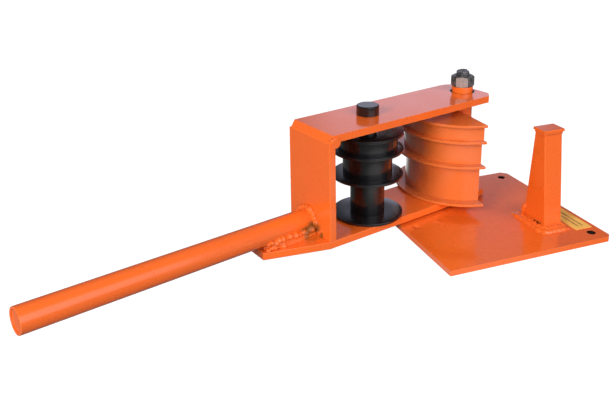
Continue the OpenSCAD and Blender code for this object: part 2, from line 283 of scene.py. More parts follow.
# %% The orange coat
def orange_coat(name, scorches=(), lumpy=0.0, holes=(), shade_pits=(), main=ORANGE, deep=ORANGE_DEEP):
    """Glossy orange coat in a main and a deeper shade, with marks. Holes and pits given here take painted shade.
    Lumpy adds the ripple of a weld.
    """
    finish, shader, add, links = new_finish(name)
    where = add("ShaderNodeTexCoord").outputs["Object"]
    colour = blend(add, band(add, noise(add, where, 14.0, 4.0), 0.35, 0.75, 0.0, 0.22), main, deep)
    # Paler rim where the coat thins over a rounded edge
    rounded = add("ShaderNodeBevel", {"Radius": 1.1 * MM}, samples=4).outputs[0]
    plain = add("ShaderNodeNewGeometry").outputs["Normal"]
    rim = band(add, vector_maths(add, "DOT_PRODUCT", rounded, plain, output="Value"), 0.99, 0.90)
    rim = maths(add, "MULTIPLY", rim, band(add, noise(add, where, 160.0, 3.0), 0.35, 0.6, 0.25, 0.8))
    colour = blend(add, rim, colour, ORANGE_THIN)
    # Dull smears left by hands and bare tube
    roughness = band(add, noise(add, where, 30.0, 4.0, 0.55), 0.35, 0.75, 0.24, 0.34)
    if scorches:
        colour, roughness = scorched(add, where, colour, roughness, scorches)
    if shade_pits:
        colour = shade_in_weld_gaps(add, where, colour, shade_pits)
    if holes:
        colour = shade_hole_walls(add, where, colour, holes)
    links.new(colour, shader.inputs["Base Color"])
    links.new(roughness, shader.inputs["Roughness"])
    relief = bump(add, noise(add, where, 620.0, 2.0), 0.03, 0.5 * MM)
    relief = bump(add, noise(add, where, 34.0, 2.0), 0.03, 1.2 * MM, relief)
    if lumpy:
        relief = bump(add, noise(add, where, 330.0, 4.0, 0.6), lumpy, 1.2 * MM, relief)
    links.new(relief, shader.inputs["Normal"])
    shader.inputs["Coat Weight"].default_value = 1.0
    shader.inputs["Coat Roughness"].default_value = 0.09
    shader.inputs["Coat IOR"].default_value = 1.5
    return finish


# %% Where this tool is marked
# Burns beside the lever's root: along and across the yoke from the end plate's face, height and reach, in mm
BURNS_MM = ((6, 8, 27, 6.5), (14, 10, 22, 7.0), (14.6, 16.3, 20, 6.0), (22, 18.5, 21, 2.4), (1, 12, 22.4, 4.5),
            (0.3, 18.3, 18.7, 3.4), (0.3, -12.8, 42.5, 2.2))
burns = [(in_yoke(end_face + x * MM, y * MM, z * MM), reach * MM) for x, y, z, reach in BURNS_MM]
base_low, base_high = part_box("base_plate")
BOLT_INSET, BOLT_RADIUS = 15 * MM, 4.5 * MM
bolt_x = base_high.x - BOLT_INSET
# The walls of the two bolt holes at the right get painted shade.
bolt_holes = [((bolt_x, y, 0.0), BOLT_RADIUS) for y in (base_high.y - BOLT_INSET, base_low.y + BOLT_INSET)]
POST_WIDTH = 22.2 * MM
post_left_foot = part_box("stop_post")[1].x - POST_WIDTH
# Painted shade in gaps and undercuts of the welds: places at the post's foot and one on the tongue, with reaches
pit_x = post_left_foot - 1.5 * MM
weld_shade_spots = [(Vector((pit_x, y * MM, 10.5 * MM)), reach * MM) for y, reach in ((-124, 2.6), (-119, 2.2), (-128, 1.6))]
weld_shade_spots += [(Vector((x * MM, -137.5 * MM, 10.0 * MM)), 1.1 * MM) for x in (36, 31)]
weld_shade_spots += [(in_yoke(end_face + 34.0 * MM, 15.5 * MM, 20.5 * MM), 1.9 * MM)]
shaft_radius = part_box("centre_shaft")[1].x
# The wall of the top bar's opening round the shaft gets painted shade.
shaft_gap = ((0.0, 0.0, 0.0), shaft_radius + 2.6 * MM)
print(len(burns), "burns,", len(weld_shade_spots), "pits,", len(bolt_holes), "bolt holes")

# %% The six orange coats
plate_coat = orange_coat("orange_coat")
die_coat = orange_coat("orange_coat_die", main=DIE_ORANGE, deep=DIE_DEEP)
base_coat = orange_coat("orange_coat_base", holes=bolt_holes)
near_weld_coat = orange_coat("orange_coat_by_the_weld", burns)
top_coat = orange_coat("orange_coat_top_bar", holes=[shaft_gap])
weld_coat = orange_coat("orange_coat_on_weld", burns, lumpy=0.30, shade_pits=weld_shade_spots)
print("orange coat: plain, on the die, on the base, scorched, on the top bar and on welds")

# %% [markdown]
# ### Black turned steel
# The roller and its pin were turned on a lathe and blackened. Turning leaves fine rings: bands up the drums
# and circles on the flanges' faces. One noise is read along the height and another along the distance from
# the axis, and the face's own direction decides which one shows.


# %% The black finish
def black_turned(name, axis, depth):
    """Blackened steel with turning marks round an upright axis."""
    finish, shader, add, links = new_finish(name)
    where = add("ShaderNodeTexCoord").outputs["Object"]
    height = add("ShaderNodeSeparateXYZ", {0: where}).outputs[2]
    from_axis = vector_maths(add, "SUBTRACT", where, (axis.x, axis.y, 0.0))
    radius = vector_maths(add, "LENGTH", vector_maths(add, "MULTIPLY", from_axis, (1.0, 1.0, 0.0)), output="Value")
    bands = add("ShaderNodeTexNoise", {"W": height, "Scale": 900.0, "Detail": 4.0}, noise_dimensions="1D")
    circles = add("ShaderNodeTexNoise", {"W": radius, "Scale": 1100.0, "Detail": 4.0}, noise_dimensions="1D")
    facing = add("ShaderNodeSeparateXYZ", {0: add("ShaderNodeNewGeometry").outputs["Normal"]})
    upward = band(add, maths(add, "ABSOLUTE", facing.outputs[2]), 0.6, 0.8)
    marks = blend(add, upward, bands.outputs["Color"], circles.outputs["Color"])
    rub = band(add, noise(add, where, 48.0, 5.0, 0.6), 0.35, 0.7)
    links.new(blend(add, rub, (0.0036, 0.0034, 0.0040, 1), (0.0080, 0.0074, 0.0085, 1)), shader.inputs["Base Color"])
    grey = add("ShaderNodeRGBToBW", {0: marks}).outputs[0]
    links.new(band(add, grey, 0.3, 0.7, 0.20, 0.36), shader.inputs["Roughness"])
    links.new(bump(add, grey, depth, 0.4 * MM), shader.inputs["Normal"])
    shader.inputs["Coat Weight"].default_value = 0.8
    shader.inputs["Coat Roughness"].default_value = 0.12
    return finish


black_coat = black_turned("black_turned_steel", roller_axis, 0.16)
pin_coat = black_turned("black_turned_pin", roller_axis, 0.34)
print("black finish: roller and pin")

# %% [markdown]
# ### Worn steel, bush metal and the label
# The nut and stud are plated steel that spanners have rubbed, with a painted highlight on the flat that
# faces the light. The bushes are dark oiled bronze. One recipe with two colours gives them all. The label is
# a satin yellow plate filled with plain ruled bars.


# %% Worn metal
def worn_steel(name, light, dark, roughness=0.34, metal=1.0, painted_lit_flat=None):
    """Plated steel with rubbed and dirty patches. The last argument is the direction of a flat that gets a painted
    highlight; the other flats stay darker, a painted shade.
    """
    finish, shader, add, links = new_finish(name)
    where = add("ShaderNodeTexCoord").outputs["Object"]
    patch = noise(add, where, 210.0, 5.0, 0.62)
    wear_and_lit_flat = band(add, patch, 0.38, 0.66)
    # Painted highlight: faces turned to the given direction are painted lighter than the rest
    if painted_lit_flat is not None:
        plain = add("ShaderNodeNewGeometry").outputs["Normal"]
        facing = vector_maths(add, "DOT_PRODUCT", plain, tuple(painted_lit_flat), output="Value")
        wear_and_lit_flat = maths(add, "MULTIPLY_ADD", wear_and_lit_flat, 0.38, band(add, facing, 0.93, 0.97, 0.0, 0.62))
    links.new(blend(add, wear_and_lit_flat, dark, light), shader.inputs["Base Color"])
    links.new(band(add, patch, 0.3, 0.7, roughness + 0.18, roughness - 0.06), shader.inputs["Roughness"])
    links.new(bump(add, noise(add, where, 1500.0, 3.0), 0.12, 0.3 * MM), shader.inputs["Normal"])
    shader.inputs["Metallic"].default_value = metal
    return finish


ring_steel = worn_steel("oily_steel", (0.30, 0.28, 0.26, 1), (0.10, 0.09, 0.08, 1), 0.4)
bush_metal = worn_steel("dark_bronze", (0.20, 0.11, 0.05, 1), (0.07, 0.04, 0.02, 1), 0.42)
print("worn metal: spacer ring and bushes")

# %% The label's finish
BAR_PITCH = 5.6 * MM


def label_sheet(name, low, high):
    """Yellow label with ruled bars. Low and high are the plate's corners."""
    finish, shader, add, links = new_finish(name)
    where = add("ShaderNodeTexCoord").outputs["Object"]
    centre, half = (low + high) / 2, (high - low) / 2
    spot = vector_maths(add, "SUBTRACT", where, (centre.x, centre.y, 0.0))
    across, along = add("ShaderNodeSeparateXYZ", {0: spot}).outputs[:2]

    def inside(value, reach):
        return band(add, maths(add, "ABSOLUTE", value), reach, reach - 0.2 * MM)

    # Ruled bars that stop short of the label's edges and are rubbed thin in places
    rows = maths(add, "FRACT", maths(add, "MULTIPLY", across, 1 / BAR_PITCH))
    bars = band(add, maths(add, "ABSOLUTE", maths(add, "SUBTRACT", rows, 0.5)), 0.16, 0.12)
    field = maths(add, "MULTIPLY", inside(across, half.x - 4.0 * MM), inside(along, half.y - 6.0 * MM))
    wear = noise(add, where, 520.0, 4.0, 0.65)
    ink = maths(add, "MULTIPLY", maths(add, "MULTIPLY", bars, field), band(add, wear, 0.34, 0.5))
    fade = band(add, noise(add, where, 60.0, 3.0), 0.35, 0.7)
    yellow = blend(add, fade, (0.90, 0.44, 0.085, 1), (0.98, 0.54, 0.13, 1))
    links.new(blend(add, ink, yellow, (0.05, 0.03, 0.02, 1)), shader.inputs["Base Color"])
    links.new(band(add, wear, 0.3, 0.7, 0.34, 0.52), shader.inputs["Roughness"])
    links.new(bump(add, wear, 0.06, 0.2 * MM), shader.inputs["Normal"])
    return finish


label_yellow = label_sheet("yellow_label", *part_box("label_plate"))
print("label finish, bars every", round(BAR_PITCH / MM, 1), "mm")

# %% [markdown]
# ## Geometry Nodes helpers
# Beads, threads and turned rings follow a rule, so Geometry Nodes make them. A tree is built once with named
# sizes, a carrier object runs it, and its result becomes a plain mesh.


# %% Build and run a tree
def new_tree(name, sizes):
    """An empty tree whose named sizes can be set from outside, and helpers that add nodes and close it."""
    tree = bpy.data.node_groups.new(name, "GeometryNodeTree")
    tree.interface.new_socket("Geometry", in_out="INPUT", socket_type="NodeSocketGeometry")
    for label, kind, value in sizes:
        socket = tree.interface.new_socket(label, in_out="INPUT", socket_type="NodeSocket" + kind)
        if value is not None:
            socket.default_value = value
    tree.interface.new_socket("Geometry", in_out="OUTPUT", socket_type="NodeSocketGeometry")
    add = adder(tree)
    entry = add("NodeGroupInput")

    def close(geometry):
        real = add("GeometryNodeRealizeInstances", {0: geometry})
        coated = add("GeometryNodeSetMaterial", {"Geometry": real.outputs[0], "Material": entry.outputs["Material"]})
        add("NodeGroupOutput", {0: coated.outputs[0]})
        return tree

    return entry.outputs, add, close


def joined(add, *parts):
    """Several geometries as one."""
    node = add("GeometryNodeJoinGeometry")
    for part in parts:
        node.id_data.links.new(part, node.inputs[0])
    return node.outputs[0]


def grown(tree, name, sizes, start=None):
    """Runs a tree with these sizes and returns its result as a plain piece."""
    carrier = link(start or bpy.data.meshes.new(name + "_start"), name + "_carrier")
    modifier = carrier.modifiers.new("shape", "NODES")
    modifier.node_group = tree
    sockets = {item.name: item.identifier for item in tree.interface.items_tree
               if item.item_type == "SOCKET" and item.in_out == "INPUT"}
    for label, value in sizes.items():
        modifier[sockets[label]] = value
    bpy.context.view_layer.update()
    seen = carrier.evaluated_get(bpy.context.evaluated_depsgraph_get())
    mesh = bpy.data.meshes.new_from_object(seen)
    mesh.name = name
    bpy.data.objects.remove(carrier)
    return link(mesh, name)


# %% Turn a piece outward and finish it
def outward(mesh):
    """Turns a closed mesh's faces outwards."""
    work = bmesh.new()
    work.from_mesh(mesh)
    bmesh.ops.remove_doubles(work, verts=work.verts, dist=1e-7)
    bmesh.ops.recalc_face_normals(work, faces=work.faces)
    work.to_mesh(mesh)
    work.free()


def finished(piece, body, finish_slot, *replaced, coat):
    """Gives a piece its coat and its body, and hides the solids it stands for. The slot is not used."""
    piece.data.materials.clear()
    piece.data.materials.append(coat)
    for face in piece.data.polygons:
        face.material_index = 0
    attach(piece, body)
    if replaced:
        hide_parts(*replaced)
    return piece


# %% [markdown]
# ## Turned rings
# Each flange and drum of the roller is a ring off the lathe, so one tree makes all seven: a rounded
# rectangle swept round a circle. The sizes come from the solids it stands for.

# %% The turned ring tree
given, add, close = new_tree("turned_ring", [
    ("Outer radius", "Float", 0.04), ("Bore radius", "Float", 0.01), ("Height", "Float", 0.003),
    ("Edge radius", "Float", 0.0004), ("Foot", "Vector", (0, 0, 0)), ("Facets", "Int", 160),
    ("Material", "Material", None)])
wall = maths(add, "SUBTRACT", given["Outer radius"], given["Bore radius"])
mid = maths(add, "MULTIPLY", maths(add, "ADD", given["Outer radius"], given["Bore radius"]), 0.5)
circle = add("GeometryNodeCurvePrimitiveCircle", {"Resolution": given["Facets"], "Radius": mid})
upright = add("GeometryNodeSetCurveNormal", {"Curve": circle.outputs[0]}, mode="Z_UP")
section = add("GeometryNodeCurvePrimitiveQuadrilateral", {"Width": wall, "Height": given["Height"]})
rounded = add("GeometryNodeFilletCurve", {
    "Curve": section.outputs[0], "Count": 3, "Radius": given["Edge radius"], "Limit Radius": True}, mode="POLY")
swept = add("GeometryNodeCurveToMesh", {"Curve": upright.outputs[0], "Profile Curve": rounded.outputs[0]})
lift = add("ShaderNodeCombineXYZ", {2: maths(add, "MULTIPLY", given["Height"], 0.5)}).outputs[0]
place = vector_maths(add, "ADD", given["Foot"], lift)
placed = add("GeometryNodeTransform", {"Geometry": swept.outputs[0], "Translation": place})
turned_ring = close(placed.outputs[0])
print("turned ring tree:", len(turned_ring.nodes), "nodes")

# %% The roller's seven rings
ROLLER_BORE = 10.05 * MM
for node in ("roller_flange_bottom", "roller_drum_low", "roller_flange_lower", "roller_drum_middle",
             "roller_flange_upper", "roller_drum_high", "roller_flange_top"):
    low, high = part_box(node)
    ring = grown(turned_ring, node + "_ring", {
        "Outer radius": (high.y - low.y) / 2, "Bore radius": ROLLER_BORE, "Height": high.z - low.z,
        "Edge radius": 0.5 * MM if "flange" in node else 0.15 * MM,
        "Foot": (roller_axis.x, roller_axis.y, low.z), "Facets": 176, "Material": black_coat})
    outward(ring.data)
    smooth_by_angle(ring.data, 40)
    finished(ring, "roller", "black_steel", node, coat=black_coat)
print("roller: seven turned rings")

# %% [markdown]
# ## The pin
# The roller turns on a headed pin that drops through both bars. Its head is chamfered and shows the same
# turning marks, so its solid gets softened edges and the black finish.

# %% The roller pin
pin = softened("roller_pin", 0.35 * MM)
finished(pin, "pin", "black_steel", "roller_pin", coat=pin_coat)
print("pin:", len(pin.data.polygons), "faces")

# %% [markdown]
# ## The half-round die
# Four thin flanges and three groove walls, all cut flat where they meet the shaft. The flanges' edges are
# rounded, because the coat pools there, and the walls between them are nearly sharp.

# %% The die's seven layers
for node in ("die_flange_bottom", "die_core_low", "die_flange_lower", "die_core_middle",
             "die_flange_upper", "die_core_high", "die_flange_top"):
    layer = softened(node, 0.55 * MM if "flange" in node else 0.12 * MM, name=node + "_layer")
    finished(layer, "base", "orange_paint", node, coat=die_coat)
print("die: seven layers")

# %% [markdown]
# ## Plates, post and shaft
# The flat bars, the base plate and the post are cut from stock and filed. Each keeps its solid's shape with a
# fine rounded edge.

# %% Plates and bars
for node, width, body, coat in (
        ("base_plate", 0.6, "base", base_coat), ("stop_post", 0.9, "base", plate_coat),
        ("stop_post_cap", 0.5, "base", plate_coat), ("centre_shaft", 0.5, "base", plate_coat),
        ("yoke_bottom_plate", 0.6, "yoke", near_weld_coat), ("yoke_top_plate", 0.7, "yoke", top_coat),
        ("yoke_end_plate", 0.5, "yoke", near_weld_coat), ("lever_tube", 0.4, "yoke", near_weld_coat),
        ("lever_plug", 0.4, "yoke", plate_coat)):
    finished(softened(node, width * MM), body, "orange_paint", node, coat=coat)
print("plates, post, shaft and lever")

# %% [markdown]
# ## Weld beads
# A hand weld is a fillet with overlapping puddles on it. The solid brings the fillet. The tree drops a lump
# every few millimetres along a path, makes each a little different, and melts lumps and fillet together
# through a volume. The start mesh holds both: its faces are the fillet, and its loose edges are the paths.

# %% The weld tree
given, add, close = new_tree("weld_bead", [
    ("Lump radius", "Float", 0.004), ("Pitch", "Float", 0.004), ("Unevenness", "Float", 0.2),
    ("Height share", "Float", 0.8), ("Grain", "Float", 0.0005), ("Seed", "Int", 1),
    ("Material", "Material", None)])
# Only an edge with no face beside it belongs to a path (inputs 2 and 3 are the whole numbers to compare)
beside = add("GeometryNodeInputMeshEdgeNeighbors").outputs[0]
loose = add("FunctionNodeCompare", {2: beside, 3: 0}, data_type="INT", operation="EQUAL").outputs[0]
follow = add("GeometryNodeMeshToCurve", {"Mesh": given["Geometry"], "Selection": loose}).outputs[0]
steps = add("GeometryNodeResampleCurve", {"Curve": follow, "Length": given["Pitch"]}, mode="LENGTH").outputs[0]
# Every lump is moved and resized a little
jitter = maths(add, "MULTIPLY", given["Lump radius"], given["Unevenness"])
less = maths(add, "MULTIPLY", jitter, -1.0)
low_shift, high_shift = (add("ShaderNodeCombineXYZ", {0: way, 1: way, 2: way}).outputs[0] for way in (less, jitter))
shift = add("FunctionNodeRandomValue", {"Min": low_shift, "Max": high_shift, "Seed": given["Seed"]},
            data_type="FLOAT_VECTOR").outputs[0]
moved = add("GeometryNodeSetPosition", {"Geometry": steps, "Offset": shift}).outputs[0]
smallest = maths(add, "SUBTRACT", given["Lump radius"], jitter)
largest = maths(add, "ADD", given["Lump radius"], jitter)
size = add("FunctionNodeRandomValue", {2: smallest, 3: largest, "Seed": given["Seed"]}, data_type="FLOAT").outputs[1]
tall = maths(add, "MULTIPLY", size, given["Height share"])
full_size = add("ShaderNodeCombineXYZ", {0: size, 1: size, 2: tall}).outputs[0]
lump = add("GeometryNodeMeshIcoSphere", {"Radius": 1.0, "Subdivisions": 4}).outputs[0]
lumps = add("GeometryNodeInstanceOnPoints", {"Points": moved, "Instance": lump, "Scale": full_size}).outputs[0]
# Lumps and fillet melt into one skin
one_mesh = add("GeometryNodeRealizeInstances", {0: joined(add, lumps, given["Geometry"])}).outputs[0]
cloud = add("GeometryNodeMeshToVolume", {
    "Mesh": one_mesh, "Voxel Size": given["Grain"], "Density": 1.0, "Interior Band Width": 1 * MM},
    resolution_mode="VOXEL_SIZE").outputs[0]
melted = add("GeometryNodeVolumeToMesh", {"Volume": cloud, "Voxel Size": given["Grain"], "Threshold": 0.15},
             resolution_mode="VOXEL_SIZE").outputs[0]
weld_bead = close(melted)
print("weld tree:", len(weld_bead.nodes), "nodes")


# %% Lay a weld
def start_mesh(node, paths, closed):
    """The fillet of a solid and the paths of its lumps, as one mesh."""
    work = bmesh.new()
    if node:
        work.from_mesh(clean_copy(node))
    for points in paths:
        spots = [work.verts.new(p) for p in points]
        for first, second in zip(spots, spots[1:] + (spots[:1] if closed else [])):
            work.edges.new((first, second))
    mesh = bpy.data.meshes.new("weld_start")
    work.to_mesh(mesh)
    work.free()
    return mesh


def weld(name, node, paths, radius, body, closed=False, pitch=None, uneven=0.2, flat=0.8, seed=1, grain=0.0005,
         coat=weld_coat):
    """A weld with lumps along its paths, round the fillet of a solid that it replaces."""
    piece = grown(weld_bead, name, {
        "Lump radius": radius, "Pitch": pitch or radius * 0.9, "Unevenness": uneven, "Height share": flat,
        "Grain": grain, "Seed": seed, "Material": coat}, start=start_mesh(node, paths, closed))
    relax = piece.modifiers.new("melt", "SMOOTH")
    relax.factor, relax.iterations = 0.5, 2
    apply_all(piece)
    piece.data.shade_smooth()
    finished(piece, body, "orange_paint", *([node] if node else []), coat=coat)
    print(name, len(piece.data.polygons), "faces")


# %% [markdown]
# ### The post's foot
# The heaviest weld on the tool: one run in the corner, and one spread over the plate. At the post's back left
# corner the welder drew a last bead upwards.

# %% Weld round the post's foot
foot_low, foot_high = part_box("stop_post_weld")


def round_foot(inset, height):
    """A loop inside the outline of the foot's weld, at a distance from its edge."""
    left, right, front, back = foot_low.x + inset, foot_high.x - inset, foot_low.y + inset, foot_high.y - inset
    cut = 6 * MM
    corners = ((left, front + cut), (left + cut, front), (right - cut * 0.6, front), (right, front + cut * 0.6),
               (right, back), (left + cut * 1.3, back), (left, back - cut * 1.3))
    return [Vector((x, y, height)) for x, y in corners]


foot_runs = [round_foot(3.8 * MM, plate_top + 0.2 * MM), round_foot(8.0 * MM, plate_top + 1.6 * MM)]
weld("post_weld", "stop_post_weld", foot_runs, 3.7 * MM, "base", closed=True,
     seed=4, uneven=0.09, pitch=3.2 * MM, flat=0.85)

# %% Bead up the post's corner
post_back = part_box("stop_post")[1].y
climb = [Vector((post_left_foot - x * MM, post_back - y * MM, plate_top + z * MM))
         for x, y, z in ((1.6, 0.6, 3.0), (1.2, 1.4, 10.0), (0.4, 3.2, 17.0))]
weld("post_corner_bead", None, [climb], 3.2 * MM, "base", seed=9, uneven=0.22, pitch=3.4 * MM, flat=1.1)

# %% [markdown]
# ### The lever's root and the tongue
# The tube is welded to the end plate all round, and along both sides on the tongue, where the welder came
# back twice. That left a rough, burnt heap. The paths are laid out round the tube's own axis, which runs from
# the end plate to the plug in the lever's free end.

# %% The lever's own directions
TUBE_RADIUS = 12.5 * MM
LEVER_OFFSET = -5.5 * MM
tongue_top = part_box("yoke_bottom_plate")[1].z
lever_root = in_yoke(end_face, LEVER_OFFSET, tongue_top + TUBE_RADIUS)
lever_way = (middle("lever_plug") - lever_root).normalized()
lever_side = lever_way.cross(Vector((0, 0, 1))).normalized()
lever_up = lever_side.cross(lever_way)


def round_tube(out, along, first, last):
    """Points round the tube's root, between two angles from its front side."""
    turns = [math.radians(t) for t in range(first, last, 10)]
    ways = [lever_side * math.cos(turn) + lever_up * math.sin(turn) for turn in turns]
    return [lever_root + way * (TUBE_RADIUS + out * MM) + lever_way * along * MM for way in ways]


def beside_tube(side, out, height, follow, first, last):
    """Points beside the tube, at a height over the tongue. With follow at 1 they climb with the tube."""
    spots = []
    for step in range(first, last, 4):
        spot = lever_root + lever_way * step * MM + lever_side * side * out * MM
        spots.append(Vector((spot.x, spot.y, tongue_top + height * MM + (spot.z - lever_root.z) * follow)))
    return spots


print("the lever rises", round(math.degrees(math.asin(lever_way.z)), 2), "degrees")

# %% Welds of the lever
weld("lever_root_weld", "lever_ring_weld", [round_tube(1.0, 2.0, -40, 230)], 3.9 * MM, "yoke",
     seed=3, uneven=0.24, flat=1.0, pitch=5.0 * MM)
tongue_runs = [beside_tube(side, out, up, follow, 5, 69)
               for side in (1, -1) for out, up, follow in ((10.7, 1.4, 0), (11.4, 5.4, 1))]
weld("lever_tongue_weld", "lever_side_weld", tongue_runs, 3.8 * MM, "yoke",
     seed=5, uneven=0.36, flat=0.85, pitch=4.4 * MM)

# %% [markdown]
# ### Smaller beads
# A ground pad closes the front corner of the end plate, two upright beads hold the die to the shaft, and a
# thin bead seats the post's cap.

# %% Corner pad
corner = [in_yoke(end_face - in_mm * MM, 34.6 * MM, up_mm * MM)
          for in_mm, up_mm in ((1.5, 132.0), (3.4, 129.0), (4.4, 125.5), (4.6, 121.5))]
weld("end_corner_weld", "yoke_corner_weld", [corner], 1.7 * MM, "yoke", seed=2, uneven=0.22, pitch=1.8 * MM)

# %% Die beads
stack_low, stack_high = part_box("die_weld")
die_paths = [[Vector((stack_low.x + 3.0 * MM, side * (stack_high.y - 1.6 * MM), z))
              for z in (stack_low.z + 2 * MM, stack_high.z - 2 * MM)] for side in (1, -1)]
weld("die_beads", "die_weld", die_paths, 2.0 * MM, "base", seed=7, flat=1.0, uneven=0.15)

# %% Cap bead
cap_low, cap_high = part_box("stop_post_cap")
cap_in = 1.9 * MM
left, right, front, back = cap_low.x + cap_in, cap_high.x - cap_in, cap_low.y + cap_in, cap_high.y - cap_in
cap_path = [Vector((x, y, cap_low.z - 0.5 * MM))
            for x, y in ((left, front), (right, front), (right, back), (left, back))]
weld("cap_bead", None, [cap_path], 1.3 * MM, "base", closed=True, seed=12, uneven=0.1, flat=2.2, pitch=1.2 * MM,
     grain=0.0004, coat=plate_coat)

# %% [markdown]
# ## Nut and stud
# The nut keeps the yoke from lifting off. A real nut's corners are turned down to a cone at both ends, and
# its stud shows a thread. The nut is built ring by ring, because its outline is a hexagon and its ends are
# cones. The thread is a ridge that Geometry Nodes sweep along a spiral round a plain core. The flat that
# faces the front left, toward the light, gets a painted highlight.

# %% The nut's sizes and steel
nut_low, nut_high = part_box("centre_nut")
stud_low, stud_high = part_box("centre_stud")
nut_corner = max((v.co.xy for v in nodes["centre_nut"].data.vertices), key=lambda spot: spot.length)
nut_half = nut_corner.length * math.cos(math.radians(30))
nut_turn = math.atan2(nut_corner.y, nut_corner.x)
bore = (stud_high.x - stud_low.x) / 2
flat_turns = [nut_turn + math.radians(30 + 60 * k) for k in range(6)]
# The nut's flat that faces the front left, toward the light, gets the painted highlight
front_left = Vector((-1, -1, 0))
lit_flat = max((Vector((math.cos(turn), math.sin(turn), 0)) for turn in flat_turns), key=front_left.dot)
nut_steel = worn_steel("plated_steel_wear_and_lit_flat", (0.80, 0.78, 0.75, 1), (0.11, 0.105, 0.115, 1), metal=0.75,
                       painted_lit_flat=lit_flat)
print("nut:", round(2 * nut_half / MM, 1), "mm over its flats")


# %% The nut
def nut_mesh(facets=144):
    """Hexagon nut with turned ends."""
    work = bmesh.new()
    rings = []
    crown = nut_half * 0.965
    for step in range(facets):
        turn = 2 * math.pi * step / facets
        # Angle from the middle of the nearest flat, with the corners where the solid has them
        off = ((turn - nut_turn) % (math.pi / 3)) - math.pi / 6
        rim = nut_half / math.cos(off)
        drop = max(0.0, (rim - crown) * math.tan(math.radians(30)))
        way = Vector((math.cos(turn), math.sin(turn), 0))
        heights = ((bore, 0.5 * MM), (bore + 0.5 * MM, 0.0), (crown, 0.0), (rim, drop))
        ring = [work.verts.new(way * r + Vector((0, 0, nut_low.z + d))) for r, d in heights]
        ring += [work.verts.new(way * r + Vector((0, 0, nut_high.z - d))) for r, d in reversed(heights)]
        rings.append(ring)
    for step, ring in enumerate(rings):
        after = rings[(step + 1) % facets]
        for level in range(len(ring)):
            up = (level + 1) % len(ring)
            work.faces.new((ring[level], after[level], after[up], ring[up]))
    bmesh.ops.recalc_face_normals(work, faces=work.faces)
    mesh = bpy.data.meshes.new("centre_nut_turned")
    work.to_mesh(mesh)
    work.free()
    return mesh


nut = link(nut_mesh(), "centre_nut_turned")
smooth_by_angle(nut.data, 22)
finished(nut, "base", "bare_steel", "centre_nut", coat=nut_steel)
print("nut:", len(nut.data.polygons), "faces")

# %% The thread tree
given, add, close = new_tree("thread", [
    ("Radius", "Float", 0.008), ("Pitch", "Float", 0.002), ("Turns", "Float", 18.0), ("Foot", "Vector", (0, 0, 0)),
    ("Material", "Material", None)])
depth = maths(add, "MULTIPLY", given["Pitch"], 0.5)
core_radius = maths(add, "SUBTRACT", given["Radius"], depth)
length = maths(add, "MULTIPLY", given["Pitch"], given["Turns"])
spiral = add("GeometryNodeCurveSpiral", {
    "Resolution": 48, "Rotations": given["Turns"], "Start Radius": core_radius, "End Radius": core_radius,
    "Height": length})
standing = add("GeometryNodeSetCurveNormal", {"Curve": spiral.outputs[0]}, mode="Z_UP")
ridge = add("GeometryNodeCurvePrimitiveCircle", {"Resolution": 4, "Radius": depth})
thread = add("GeometryNodeCurveToMesh", {
    "Curve": standing.outputs[0], "Profile Curve": ridge.outputs[0], "Fill Caps": True})
core = add("GeometryNodeMeshCylinder", {"Vertices": 64, "Radius": core_radius, "Depth": length})
half_way = add("ShaderNodeCombineXYZ", {2: maths(add, "MULTIPLY", length, 0.5)}).outputs[0]
core_up = add("GeometryNodeTransform", {"Geometry": core.outputs[0], "Translation": half_way})
both = joined(add, thread.outputs[0], core_up.outputs[0])
placed = add("GeometryNodeTransform", {"Geometry": both, "Translation": given["Foot"]})
thread_tree = close(placed.outputs[0])
print("thread tree:", len(thread_tree.nodes), "nodes")

# %% The stud
thread_pitch = 2.0 * MM
turns = (stud_high.z - stud_low.z - 1.5 * MM) / thread_pitch
stud = grown(thread_tree, "centre_stud_thread", {
    "Radius": bore - 0.1 * MM, "Pitch": thread_pitch, "Turns": turns,
    "Foot": (0.0, 0.0, stud_low.z + 0.2 * MM), "Material": nut_steel})
smooth_by_angle(stud.data, 30)
finished(stud, "base", "bare_steel", "centre_stud", coat=nut_steel)
print("stud:", round(turns, 1), "turns of thread")

# %% [markdown]
# ## Label and hidden rings
# The label is a thin plate with rounded corners. The spacer ring and the two bushes stay as their solids
# with the right metal.

# %% Label, spacer ring and bushes
label = softened("label_plate", 0.25 * MM)
finished(label, "base", "label_yellow", "label_plate", coat=label_yellow)
for node, coat in (("spacer_ring", ring_steel), ("yoke_lower_bush", bush_metal), ("yoke_upper_bush", bush_metal)):
    nodes[node].data.materials.clear()
    nodes[node].data.materials.append(coat)
print("label, spacer ring and two bushes")

# %% [markdown]
# ## Studio
# The photograph is a cut-out on white. The camera sees a white floor with the tool's shadow and a white room.
# The glossy coat sees something else, as it did in the photograph: a dim floor with two lit patches and a
# bright panel low behind the tool. Light Path nodes keep the two apart, so that the background is white and
# the coat isn't bleached.

# %% Floor
FLOOR_GLOW = 0.94
FLOOR_IN_COAT = 0.13
# Lit patches that only gloss sees: place, reach and strength. One before the die gives its round wall a
# sheen, and one behind it gives its left rim a glint.
PATCHES = (((-0.10, -0.25, 0.0), 0.20, 0.45), ((0.0, 0.16, 0.0), 0.12, 1.4))
WHITE = (1, 1, 1, 1)
FLOOR_HALF = 40.0
floor_corners = [(x * FLOOR_HALF, y * FLOOR_HALF, 0) for x, y in ((-1, -1), (1, -1), (1, 1), (-1, 1))]
floor_mesh = bpy.data.meshes.new("studio_floor")
floor_mesh.from_pydata(floor_corners, [], [(0, 1, 2, 3)])
floor = link(floor_mesh, "studio_floor")
floor.location.z = cad_low.z - 0.2 * MM
floor_finish, shader, add, links = new_finish("pale_floor")
shader.inputs["Base Color"].default_value = (0.22, 0.22, 0.22, 1)
shader.inputs["Roughness"].default_value = 0.9
shader.inputs["Specular IOR Level"].default_value = 0.1
rays = add("ShaderNodeLightPath").outputs
